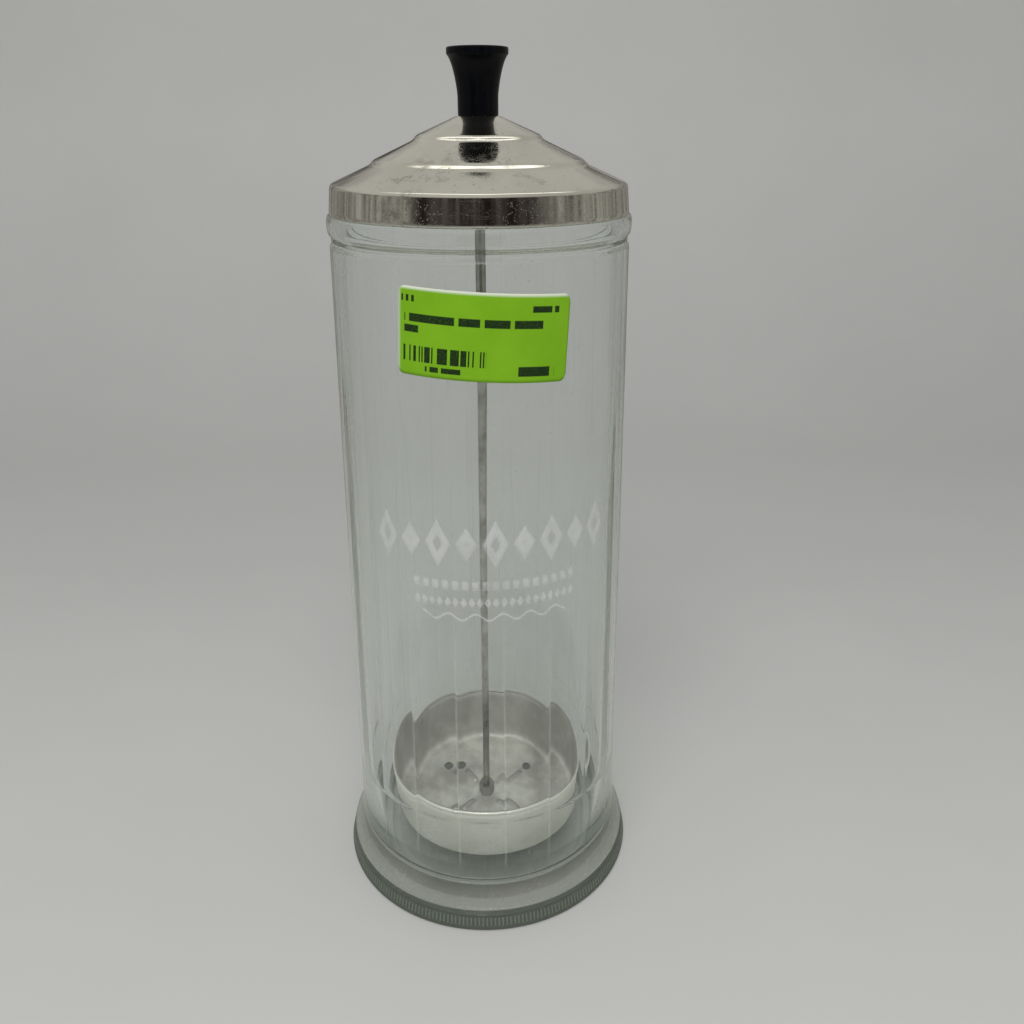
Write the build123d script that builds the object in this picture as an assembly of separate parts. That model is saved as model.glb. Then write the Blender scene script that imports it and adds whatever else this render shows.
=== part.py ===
from build123d import *
from math import cos, radians, sin, sqrt
import os

# Disinfectant jar: a thick glass jar with a loose domed lid.  A black knob and a
# shallow instrument tray sit on one rod that slides and turns in a bush in the lid.
# Millimetres, +Z up, origin at the centre of the base on the surface it stands on.

total_height = 279.4

# glass jar
base_radius = 53.9          # widest circle of the foot
base_band_top_radius = 52.4
base_band_top = 8.2
foot_inner_radius = 44.0    # inner edge of the ring that it rests on
pushup_height = 2.5
foot_start = 20.0           # where the flare leaves the body
body_low_radius = 48.6
body_high_radius = 45.0
body_high = 226.4
groove_radius = 44.5
bead_radius = 45.5
bead_low = 229.6
bead_high = 235.2           # ledge that carries the lid
neck_radius = 42.9
mouth_radius = 40.8
mouth_high = 240.4
bore_low_radius = 43.6      # bore at the lower end of the flutes
bore_high_radius = 41.7     # bore at the upper end of the flutes
jar_floor = 9.2
floor_corner_radius = 8.0

# shallow flutes pressed into the bore, with a sharp rib between each two
flute_count = 18
flute_radius = 31.6
flute_depth = 0.25
flute_low = 45.0
flute_full = 150.0          # full depth up to here, then a slow run-out
flute_high = 196.0
flute_turn = -2.8           # degrees

# lid, spun from sheet
lid_sheet = 0.8
lid_top = 261.6
lid_hole_radius = 2.72

# bush in the lid
bush_radius = 2.65
bush_bore_radius = 1.65
bush_flange_radius = 4.2
bush_flange = 0.4
bush_end_play = 0.1

# knob and rod
knob_top_radius = 8.8
knob_neck_radius = 5.85
knob_recess_radius = 4.7
knob_recess_depth = 1.0
insert_radius = 3.0
insert_length = 11.0
rod_radius = 1.6
rod_low = 13.3
rod_high = 272.4
rod_chamfer = 0.4

# tray
tray_sheet = 0.7
tray_low = 16.6
tray_foot_radius = 35.2
tray_rim_radius = 37.2
tray_wall_high = 38.6
tray_roll_radius = 0.75
tray_corner_radius = 3.2
tray_rib_count = 4
tray_rib_start = 8.0
tray_rib_end = 16.5
tray_rib_width = 3.0
tray_rib_height = 0.7
tray_hole_radius = 2.4
tray_hole_circle = 21.0
tray_first_rib_angle = 42.0

# fasteners on the rod
nut_across_flats = 6.6
hub_nut_height = 4.2
under_nut_height = 2.4
washer_radius = 5.0
washer_thickness = 0.6

# price label on the front of the glass (the front faces -Y)
label_width = 46.0
label_height = 24.0
label_corner = 1.6
label_thickness = 0.15
label_gap = 0.02
label_middle = 207.3
label_tilt = 3.5


def turned(outline):
    """A solid turned about Z from a closed outline of (radius, height)."""
    return revolve(make_face(Plane.XZ * outline), axis=Axis.Z)


def ring(inner, outer, low, high):
    return turned(Polyline((inner, low), (outer, low), (outer, high), (inner, high), close=True))


def body_radius(height):
    share = (height - foot_start) / (body_high - foot_start)
    return body_low_radius + share * (body_high_radius - body_low_radius)


def jar_blank():
    foot = Polyline((0, pushup_height), (foot_inner_radius - 6, pushup_height),
                    (foot_inner_radius, 0), (base_radius - 1.5, 0))
    foot += ThreePointArc((base_radius - 1.5, 0), (base_radius - 0.35, 0.5), (base_radius, 1.7))
    foot += Polyline((base_radius, 1.7), (base_band_top_radius, base_band_top))
    flare = Spline((base_band_top_radius, base_band_top), (base_band_top_radius - 1.6, 13.2),
                   (body_low_radius, foot_start), tangents=[(-0.12, 1), (-0.02, 1)])
    body = Line((body_low_radius, foot_start), (body_high_radius, body_high))
    shoulder = Polyline((body_high_radius, body_high), (groove_radius, body_high + 0.6),
                        (groove_radius, bead_low - 0.2))
    bead = ThreePointArc((groove_radius, bead_low - 0.2), (bead_radius, (bead_low + bead_high) / 2),
                         (groove_radius - 0.3, bead_high))
    neck = FilletPolyline((groove_radius - 0.3, bead_high), (neck_radius, bead_high),
                          (neck_radius, mouth_high), (mouth_radius, mouth_high),
                          (mouth_radius, bead_high - 4),
                          (bore_high_radius, flute_high), (bore_low_radius, flute_low),
                          (bore_low_radius, jar_floor), (0, jar_floor),
                          radius=[0.4, 0.8, 0.8, 6, 6, 6, floor_corner_radius])
    axis_line = Line((0, jar_floor), (0, pushup_height))
    return turned(foot + flare + body + shoulder + bead + neck + axis_line)


def bore_radius(height):
    share = (height - flute_low) / (flute_high - flute_low)
    return bore_low_radius + share * (bore_high_radius - bore_low_radius)


def flute_bar(low, high):
    """A round bar from one (depth, height) to another, each depth measured into the bore's wall."""
    start, end = [Vector(bore_radius(height) + depth - flute_radius, 0, height)
                  for depth, height in (low, high)]
    length = (end - start).length
    middle = flute_radius * sqrt(0.5)
    outline = ThreePointArc((0, -flute_radius), (middle, -middle), (flute_radius, 0))
    outline += Line((flute_radius, 0), (flute_radius, length))
    outline += ThreePointArc((flute_radius, length), (middle, length + middle), (0, length + flute_radius))
    outline += Line((0, length + flute_radius), (0, -flute_radius))
    return Plane(origin=start, z_dir=end - start) * turned(outline)


def flute():
    """One flute cutter on the +X side: a bar along the sloping bore, then one that leaves the wall."""
    return (flute_bar((flute_depth, flute_low), (flute_depth, flute_full))
            + flute_bar((flute_depth, flute_full), (0, flute_high)))


def glass_jar():
    jar = jar_blank()
    step = 360 / flute_count
    for i in range(flute_count):
        jar -= Rot(0, 0, (i + 0.5) * step + flute_turn) * flute()
    return jar


def price_label():
    low = label_middle - label_height
    high = label_middle + label_height
    inner = label_gap
    outer = label_gap + label_thickness
    skin = turned(Polyline((body_radius(low) + inner, low), (body_radius(low) + outer, low),
                           (body_radius(high) + outer, high), (body_radius(high) + inner, high), close=True))
    outline = Pos(0, label_middle) * Rot(0, 0, -label_tilt) * RectangleRounded(
        label_width, label_height, label_corner)
    cutter = extrude(Plane.XZ * outline, amount=base_radius)
    return skin & cutter


def lid_shell():
    outer = [(lid_hole_radius, lid_top), (6.4, lid_top), (18.0, 256.7), (19.1, 255.3),
             (30.8, 250.0), (32.1, 248.6), (42.9, 243.9), (44.0, 242.2), (44.6, bead_high)]
    inner = [(43.8, bead_high), (43.2, 241.9), (42.4, 243.25), (31.7, 247.9), (30.35, 249.3),
             (18.6, 254.65), (17.5, 256.05), (6.25, lid_top - lid_sheet),
             (lid_hole_radius, lid_top - lid_sheet)]
    outline = FilletPolyline(*outer, radius=[1.5, 0.5, 0.4, 0.5, 0.4, 0.9, 0.7])
    outline += Line(outer[-1], inner[0])
    outline += FilletPolyline(*inner, radius=[0.5, 0.6, 0.8, 0.3, 0.8, 0.3, 0.8])
    outline += Line(inner[-1], outer[0])
    return turned(outline)


def guide_bush():
    under = lid_top - lid_sheet - bush_end_play
    tube = ring(bush_bore_radius, bush_radius, under - bush_flange, lid_top + bush_flange)
    top_flange = ring(bush_bore_radius, bush_flange_radius, lid_top, lid_top + bush_flange)
    under_flange = ring(bush_bore_radius, bush_flange_radius, under - bush_flange, under)
    return tube + top_flange + under_flange


def knob():
    insert_top = lid_top + knob_recess_depth + insert_length
    waist = lid_top + 5.0
    grip = total_height - 1.8
    outline = Line((knob_recess_radius, lid_top), (knob_neck_radius - 0.3, lid_top))
    outline += Line((knob_neck_radius - 0.3, lid_top), (knob_neck_radius, lid_top + 0.3))
    outline += Line((knob_neck_radius, lid_top + 0.3), (knob_neck_radius, waist))
    outline += Spline((knob_neck_radius, waist), (6.5, grip - 4.2), (knob_top_radius, grip),
                      tangents=[(0, 1), (0.55, 1)])
    outline += Line((knob_top_radius, grip), (knob_top_radius, total_height - 0.5))
    outline += ThreePointArc((knob_top_radius, total_height - 0.5),
                             (knob_top_radius - 0.15, total_height - 0.15),
                             (knob_top_radius - 0.5, total_height))
    outline += Polyline((knob_top_radius - 0.5, total_height), (0, total_height), (0, insert_top),
                        (insert_radius, insert_top), (insert_radius, lid_top + knob_recess_depth),
                        (knob_recess_radius, lid_top + knob_recess_depth), (knob_recess_radius, lid_top))
    return turned(outline)


def knob_insert():
    low = lid_top + knob_recess_depth
    high = low + insert_length
    return turned(Polyline((rod_radius, low), (insert_radius, low), (insert_radius, high), (0, high),
                           (0, rod_high), (rod_radius, rod_high), close=True))


def lift_rod():
    return turned(Polyline((0, rod_low), (rod_radius - rod_chamfer, rod_low),
                           (rod_radius, rod_low + rod_chamfer), (rod_radius, rod_high), (0, rod_high),
                           close=True))


def tray():
    floor_top = tray_low + tray_sheet
    hole = rod_radius + 0.1
    outline = FilletPolyline((hole, tray_low), (tray_foot_radius, tray_low),
                             (tray_rim_radius, tray_wall_high), radius=[tray_corner_radius])
    outline += Line((tray_rim_radius, tray_wall_high), (tray_rim_radius - tray_sheet, tray_wall_high))
    outline += FilletPolyline((tray_rim_radius - tray_sheet, tray_wall_high),
                              (tray_foot_radius - tray_sheet, floor_top), (hole, floor_top),
                              radius=[tray_corner_radius - tray_sheet])
    outline += Line((hole, floor_top), (hole, tray_low))
    pan = turned(outline)
    roll = Pos(tray_rim_radius - tray_sheet / 2, tray_wall_high + 0.3) * Circle(tray_roll_radius)
    pan += revolve(Plane.XZ * roll, axis=Axis.Z)
    rib_length = tray_rib_end - tray_rib_start
    rib_middle = (tray_rib_start + tray_rib_end) / 2
    for i in range(tray_rib_count):
        turn = Rot(0, 0, tray_first_rib_angle + i * 360 / tray_rib_count)
        rib = extrude(SlotOverall(rib_length, tray_rib_width), amount=tray_rib_height)
        rib = fillet(rib.faces().sort_by(Axis.Z)[-1].edges(), tray_rib_height - 0.1)
        pan += turn * Pos(rib_middle, 0, floor_top) * rib
        pan -= turn * Pos(tray_hole_circle, 0, tray_low) * Cylinder(tray_hole_radius, 4 * tray_sheet)
    return pan


def hex_nut(low, height):
    """A hexagon nut on the rod with both faces chamfered."""
    corner = nut_across_flats / 2 / cos(radians(30))
    chamfer = corner - nut_across_flats / 2
    prism = Pos(0, 0, low) * extrude(RegularPolygon(corner, 6), amount=height)
    limits = turned(Polyline((rod_radius, low), (corner - chamfer, low), (corner, low + chamfer * 0.6),
                             (corner, low + height - chamfer * 0.6), (corner - chamfer, low + height),
                             (rod_radius, low + height), close=True))
    return prism & limits


def hub_nut():
    return hex_nut(tray_low + tray_sheet, hub_nut_height)


def under_washer():
    return ring(rod_radius + 0.1, washer_radius, tray_low - washer_thickness, tray_low)


def under_nut():
    return hex_nut(tray_low - washer_thickness - under_nut_height, under_nut_height)


pieces = {
    "glass_jar": glass_jar,
    "price_label": price_label,
    "lid_shell": lid_shell,
    "guide_bush": guide_bush,
    "knob": knob,
    "knob_insert": knob_insert,
    "lift_rod": lift_rod,
    "tray": tray,
    "hub_nut": hub_nut,
    "under_washer": under_washer,
    "under_nut": under_nut,
}

os.makedirs("parts", exist_ok=True)
for node, make in pieces.items():
    export_step(make(), f"parts/{node}.step")
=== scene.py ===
import math
import bpy
import numpy as np
from mathutils import Matrix, Vector


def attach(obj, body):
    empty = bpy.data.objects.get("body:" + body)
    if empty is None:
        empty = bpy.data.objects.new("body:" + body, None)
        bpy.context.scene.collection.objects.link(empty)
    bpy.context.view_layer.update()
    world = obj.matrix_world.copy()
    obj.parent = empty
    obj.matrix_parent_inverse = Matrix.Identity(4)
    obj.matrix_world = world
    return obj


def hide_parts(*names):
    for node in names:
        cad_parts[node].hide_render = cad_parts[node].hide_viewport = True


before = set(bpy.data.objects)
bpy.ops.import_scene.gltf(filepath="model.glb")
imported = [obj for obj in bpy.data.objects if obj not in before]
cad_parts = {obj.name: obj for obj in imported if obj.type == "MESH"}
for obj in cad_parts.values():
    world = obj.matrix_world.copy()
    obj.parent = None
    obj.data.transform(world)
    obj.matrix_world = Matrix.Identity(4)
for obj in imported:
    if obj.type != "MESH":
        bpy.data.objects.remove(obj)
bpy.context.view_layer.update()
mm = 0.001


def tidyFaces(verts, faces):
    # Signed volume = sum of a . (b x c) / 6 over the triangle fans; a negative one means inside out.
    tri = np.concatenate([faces[:, [0, 1, 2]], faces[:, [0, 2, 3]]]) if faces.shape[1] == 4 else faces
    a, b, c = verts[tri[:, 0]], verts[tri[:, 1]], verts[tri[:, 2]]
    volume = np.einsum("ij,ij->i", a, np.cross(b, c)).sum() / 6
    return faces[:, ::-1] if volume < 0 else faces


def makeObject(name, verts, quads, material, body, tris=None, uv=None, smooth=True):
    # Joins the quads and triangles into one mesh in metres; uv is one pair per vertex.
    mesh = bpy.data.meshes.new(name)
    polys = quads.tolist() + ([] if tris is None else tris.tolist())
    mesh.from_pydata((verts * mm).tolist(), [], polys)
    mesh.polygons.foreach_set("use_smooth", np.full(len(polys), smooth))
    if uv is not None:
        layer = mesh.uv_layers.new(name="UVMap")
        loopVerts = np.empty(len(mesh.loops), dtype=np.int32)
        mesh.loops.foreach_get("vertex_index", loopVerts)
        layer.data.foreach_set("uv", uv[loopVerts].ravel())
    mesh.materials.append(material)
    mesh.update()
    piece = bpy.data.objects.new(name, mesh)
    bpy.context.scene.collection.objects.link(piece)
    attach(piece, body)
    return piece


def gridFaces(rows, cols, wrapCols=True, wrapRows=False, start=0):
    # Quads (i, j), (i, j+1), (i+1, j+1), (i+1, j) of a rows x cols grid of vertices.
    i = np.arange(rows if wrapRows else rows - 1)
    j = np.arange(cols if wrapCols else cols - 1)
    i, j = [a.ravel() for a in np.meshgrid(i, j, indexing="ij")]
    up, right = (i + 1) % rows, (j + 1) % cols
    return np.stack([i * cols + j, i * cols + right, up * cols + right, up * cols + j], axis=1) + start


def roundedPath(points, radii, steps=8):
    # A polyline whose inner corners become arcs: each corner is cut back by radius * tan(half turn)
    # and the gap is filled with a circular arc that touches both sides.
    points = np.array(points, dtype=float)
    path = [points[:1]]
    for before, corner, after, radius in zip(points[:-2], points[1:-1], points[2:], radii):
        a = (before - corner) / np.linalg.norm(before - corner)
        b = (after - corner) / np.linalg.norm(after - corner)
        half = math.acos(np.clip(a @ b, -1, 1)) / 2
        if radius <= 0 or abs(half - math.pi / 2) < 1e-4:
            path.append(corner[None])
            continue
        cut = radius / math.tan(half)
        middle = corner + (a + b) / np.linalg.norm(a + b) * radius / math.sin(half)
        first = corner + a * cut - middle
        last = corner + b * cut - middle
        turn = math.acos(np.clip(first @ last / radius**2, -1, 1))
        sign = np.sign(first[0] * last[1] - first[1] * last[0])
        angle = np.linspace(0, turn * sign, steps + 1)
        path.append(middle + np.stack([first[0] * np.cos(angle) - first[1] * np.sin(angle),
                                       first[0] * np.sin(angle) + first[1] * np.cos(angle)], axis=1))
    path.append(points[-1:])
    return np.concatenate(path)


def spacedPath(path, step):
    # The same outline with points added so that none are further apart than step.
    out = [path[:1]]
    for a, b in zip(path[:-1], path[1:]):
        n = max(1, int(np.ceil(np.linalg.norm(b - a) / step)))
        out.append(a + (b - a) * np.linspace(0, 1, n + 1)[1:, None])
    return np.concatenate(out)


def softCurve(start, startTangent, end, endTangent, steps):
    # Cubic Hermite curve: two end points, two end tangents.
    t = np.linspace(0, 1, steps)[:, None]
    p, q, u, v = [np.array(a, dtype=float) for a in (start, end, startTangent, endTangent)]
    return ((2 * t**3 - 3 * t**2 + 1) * p + (t**3 - 2 * t**2 + t) * u
            + (-2 * t**3 + 3 * t**2) * q + (t**3 - t**2) * v)


def turnedGrid(radius, height, angles):
    # x = r cos a, y = r sin a, z = h, with r and h given per row or per row and column.
    radius = np.broadcast_to(radius if radius.ndim == 2 else radius[:, None], (len(radius), len(angles)))
    height = np.broadcast_to(height if height.ndim == 2 else height[:, None], radius.shape)
    return np.stack([radius * np.cos(angles), radius * np.sin(angles), height], axis=-1)


def evenAngles(columns):
    return np.arange(columns) * 2 * math.pi / columns


def turnedPiece(name, path, material, body, angles, closedLoop=False, shape=None):
    # A profile of (radius, height) carried round Z. Ends on the axis close in a fan of triangles;
    # a closed loop joins its last row to its first. shape(radius, height, angle) may change the radius.
    columns = len(angles)
    onAxis = path[:, 0] < 1e-6
    rows = path[~onAxis]
    radius = np.repeat(rows[:, :1], columns, axis=1)
    if shape is not None:
        radius = shape(radius, rows[:, 1:], angles[None])
    verts = turnedGrid(radius, rows[:, 1], angles).reshape(-1, 3)
    quads = gridFaces(len(rows), columns, wrapRows=closedLoop)
    tris = np.empty((0, 3), dtype=int)
    j = np.arange(columns)
    after = (j + 1) % columns
    last = (len(rows) - 1) * columns
    for closed, high, first, second in ((onAxis[0], path[0, 1], after, j),
                                        (onAxis[-1], path[-1, 1], last + j, last + after)):
        if closed:
            pole = np.full(columns, len(verts))
            verts = np.vstack([verts, [0, 0, high]])
            tris = np.vstack([tris, np.stack([pole, first, second], axis=1)])
    flipped = tidyFaces(verts, quads)
    if flipped is not quads:
        tris = tris[:, ::-1]
    return makeObject(name, verts, flipped, material, body, tris=tris)


def addNode(tree, kind, inputs=None, **settings):
    node = tree.nodes.new(kind)
    for key, value in settings.items():
        setattr(node, key, value)
    for key, value in (inputs or {}).items():
        if isinstance(value, bpy.types.NodeSocket):
            tree.links.new(value, node.inputs[key])
        else:
            node.inputs[key].default_value = value
    return node


def mathNode(tree, operation, *values, clamp=False):
    node = addNode(tree, "ShaderNodeMath", dict(enumerate(values)), operation=operation, use_clamp=clamp)
    return node.outputs[0]


def times(tree, a, b):
    return mathNode(tree, "MULTIPLY", a, b)


def plus(tree, a, b, clamp=False):
    return mathNode(tree, "ADD", a, b, clamp=clamp)


def minus(tree, a, b, clamp=False):
    return mathNode(tree, "SUBTRACT", a, b, clamp=clamp)


def over(tree, a, b):
    return mathNode(tree, "DIVIDE", a, b)


def larger(tree, a, b):
    return mathNode(tree, "MAXIMUM", a, b)


def absolute(tree, a):
    return mathNode(tree, "ABSOLUTE", a)


def rangeNode(tree, value, low, high, toLow=0.0, toHigh=1.0):
    return addNode(tree, "ShaderNodeMapRange", {"Value": value, "From Min": low, "From Max": high,
                                                "To Min": toLow, "To Max": toHigh}).outputs["Result"]


def mixColour(tree, factor, a, b):
    node = addNode(tree, "ShaderNodeMix", data_type="RGBA")
    for index, value in ((0, factor), (6, a), (7, b)):
        if isinstance(value, bpy.types.NodeSocket):
            tree.links.new(value, node.inputs[index])
        else:
            node.inputs[index].default_value = value
    return node.outputs[2]


def noiseNode(tree, vector, scale, detail=3.0, roughness=0.5):
    return addNode(tree, "ShaderNodeTexNoise", {"Vector": vector, "Scale": scale, "Detail": detail,
                                                "Roughness": roughness}).outputs["Fac"]


def newGroup(name, inputs, outputs):
    group = bpy.data.node_groups.new(name, "ShaderNodeTree")
    for name, value in inputs.items():
        socket = group.interface.new_socket(name=name, in_out="INPUT", socket_type="NodeSocketFloat")
        socket.default_value = value
    for name in outputs:
        group.interface.new_socket(name=name, in_out="OUTPUT", socket_type="NodeSocketFloat")
    return group, addNode(group, "NodeGroupInput").outputs, addNode(group, "NodeGroupOutput").inputs


def useGroup(tree, group, **values):
    node = addNode(tree, "ShaderNodeGroup", node_tree=group)
    for key, value in values.items():
        node.inputs[key].default_value = value
    return node.outputs


def objectCoords(tree, scale=(1, 1, 1), turn=(0, 0, 0)):
    coords = addNode(tree, "ShaderNodeTexCoord").outputs["Object"]
    inputs = {"Vector": coords, "Scale": scale, "Rotation": turn}
    return addNode(tree, "ShaderNodeMapping", inputs).outputs[0]


def newMaterial(name, colour, roughness, **values):
    material = bpy.data.materials.new(name)
    material.use_nodes = True
    tree = material.node_tree
    shader = tree.nodes["Principled BSDF"]
    shader.inputs["Base Color"].default_value = (*colour, 1)
    shader.inputs["Roughness"].default_value = roughness
    for key, value in values.items():
        shader.inputs[key].default_value = value
    return material, tree, shader


def axisDistance(tree, place):
    # sqrt(x^2 + y^2) in millimetres.
    squares = plus(tree, mathNode(tree, "POWER", place[0], 2.0), mathNode(tree, "POWER", place[1], 2.0))
    return over(tree, mathNode(tree, "SQRT", squares), mm)


def addBump(tree, shader, height, strength, distance):
    bump = addNode(tree, "ShaderNodeBump", {"Height": height, "Strength": strength, "Distance": distance})
    tree.links.new(bump.outputs[0], shader.inputs["Normal"])
    return bump.outputs[0]


def makeMottle():
    # Cloudy variation at two sizes: Cloud is soft patches, Grain is fine grain.
    group, given, result = newGroup("mottle", {"Patch Scale": 60.0, "Grain Scale": 900.0}, ["Cloud", "Grain"])
    coords = objectCoords(group)
    group.links.new(noiseNode(group, coords, given["Patch Scale"], 4.0, 0.6), result["Cloud"])
    group.links.new(noiseNode(group, coords, given["Grain Scale"], 3.0, 0.6), result["Grain"])
    return group


def makeScratches():
    # Thin hairlines in three directions: noise stretched along one axis, kept only near its mean.
    group, given, result = newGroup("scratches", {"Scale": 260.0, "Width": 0.012}, ["Mask"])
    total = None
    for turn, stretch in (((0.3, 0.2, 0.4), (1, 0.03, 1)), ((0.9, -0.5, 1.3), (1, 0.02, 1)),
                          ((-0.4, 0.8, 2.4), (0.025, 1, 1))):
        lines = noiseNode(group, objectCoords(group, stretch, turn), given["Scale"], 2.0, 0.5)
        off = absolute(group, minus(group, lines, 0.5))
        line = minus(group, 1.0, over(group, off, given["Width"]), clamp=True)
        total = line if total is None else larger(group, total, line)
    breaks = rangeNode(group, noiseNode(group, objectCoords(group), 120.0), 0.45, 0.62)
    group.links.new(times(group, total, breaks), result["Mask"])
    return group


def makeSpots():
    # Dried splashes: small round marks scattered by a cell pattern, only in some cells.
    group, given, result = newGroup("spots", {"Scale": 400.0, "Size": 0.25, "Share": 0.35}, ["Mask"])
    cells = addNode(group, "ShaderNodeTexVoronoi", {"Vector": objectCoords(group), "Scale": given["Scale"]})
    chosen = mathNode(group, "LESS_THAN", addNode(
        group, "ShaderNodeSeparateColor", {"Color": cells.outputs["Color"]}).outputs[0], given["Share"])
    edge = minus(group, 1.0, over(group, cells.outputs["Distance"], given["Size"]),
                    clamp=True)
    group.links.new(times(group, chosen, mathNode(group, "SQRT", edge)), result["Mask"])
    return group


mottle, scratches, spots = makeMottle(), makeScratches(), makeSpots()


jar = {
    "footRadius": 53.9, "bandTopRadius": 52.4, "bandTop": 8.2, "restRadius": 44.0, "pushup": 2.5,
    "bodyLow": 20.0, "bodyLowRadius": 48.6, "bodyHigh": 226.4, "bodyHighRadius": 45.0,
    "grooveRadius": 44.5, "beadLow": 229.6, "beadHigh": 235.2, "beadRadius": 45.5,
    "neckRadius": 42.9, "mouthRadius": 40.8, "mouthHigh": 240.4,
    "boreLowRadius": 43.6, "boreHighRadius": 41.7, "floor": 9.2, "cornerRadius": 8.0,
    "flutes": 18, "fluteDepth": 0.32, "fluteLow": 45.0, "fluteLowFade": 4.0, "fluteHigh": 150.0,
    "fluteHighFade": 46.0, "fluteTurn": -2.8, "ribSoftness": 0.04, "columnsPerFlute": 24,
    "edgeRound": 0.35, "knurlTeeth": 240, "knurlLow": 2.2, "knurlHigh": 5.8,
}


def bodyRadius(height):
    share = (height - jar["bodyLow"]) / (jar["bodyHigh"] - jar["bodyLow"])
    return jar["bodyLowRadius"] + share * (jar["bodyHighRadius"] - jar["bodyLowRadius"])


# Shares of dull surface on the glass, with the heights and distances from the axis that they fade over. The
# knurled band's dark colour and the underside's share are painted shade; the paler teeth and the rib lines
# are painted highlights.
glassWearAndPaintedLight = {
    "rimOut": (51.6, 52.0), "bandShadeShare": 0.72, "bandShadeColour": (0.07, 0.085, 0.062, 1),
    "teethHighlightColour": (0.165, 0.19, 0.152, 1),
    "flareOut": (46.0, 47.0), "flareHigh": (12.0, 22.0), "flareShare": 0.42,
    "underOut": (52.0, 51.0), "underHigh": (3.0, 2.6), "underShadeShare": 0.5,
    "hairHigh": (30.0, 60.0), "hairShare": (0.22, 0.05),
    "ribWide": (0.02, 0.12), "ribHighlightShare": 0.24, "ribOut": (45.0, 44.0), "ribLow": (16.0, 24.0),
    "ribHigh": (70.0, 150.0), "ribHighlightLeft": 0.15, "splashShare": 0.35,
    "filmLow": (70.0, 105.0), "filmShare": 0.05, "filmHigh": (130.0, 200.0), "filmLeft": 0.1,
    "footHigh": (20.0, 30.0), "footColour": (0.44, 0.44, 0.40, 1), "bodyColour": (0.71, 0.78, 0.71, 1),
    "shadeHigh": (18.0, 12.0), "shadeShare": 0.6, "glassTint": (0.61, 0.75, 0.645, 1), "tintDepth": 18.0,
}


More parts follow.
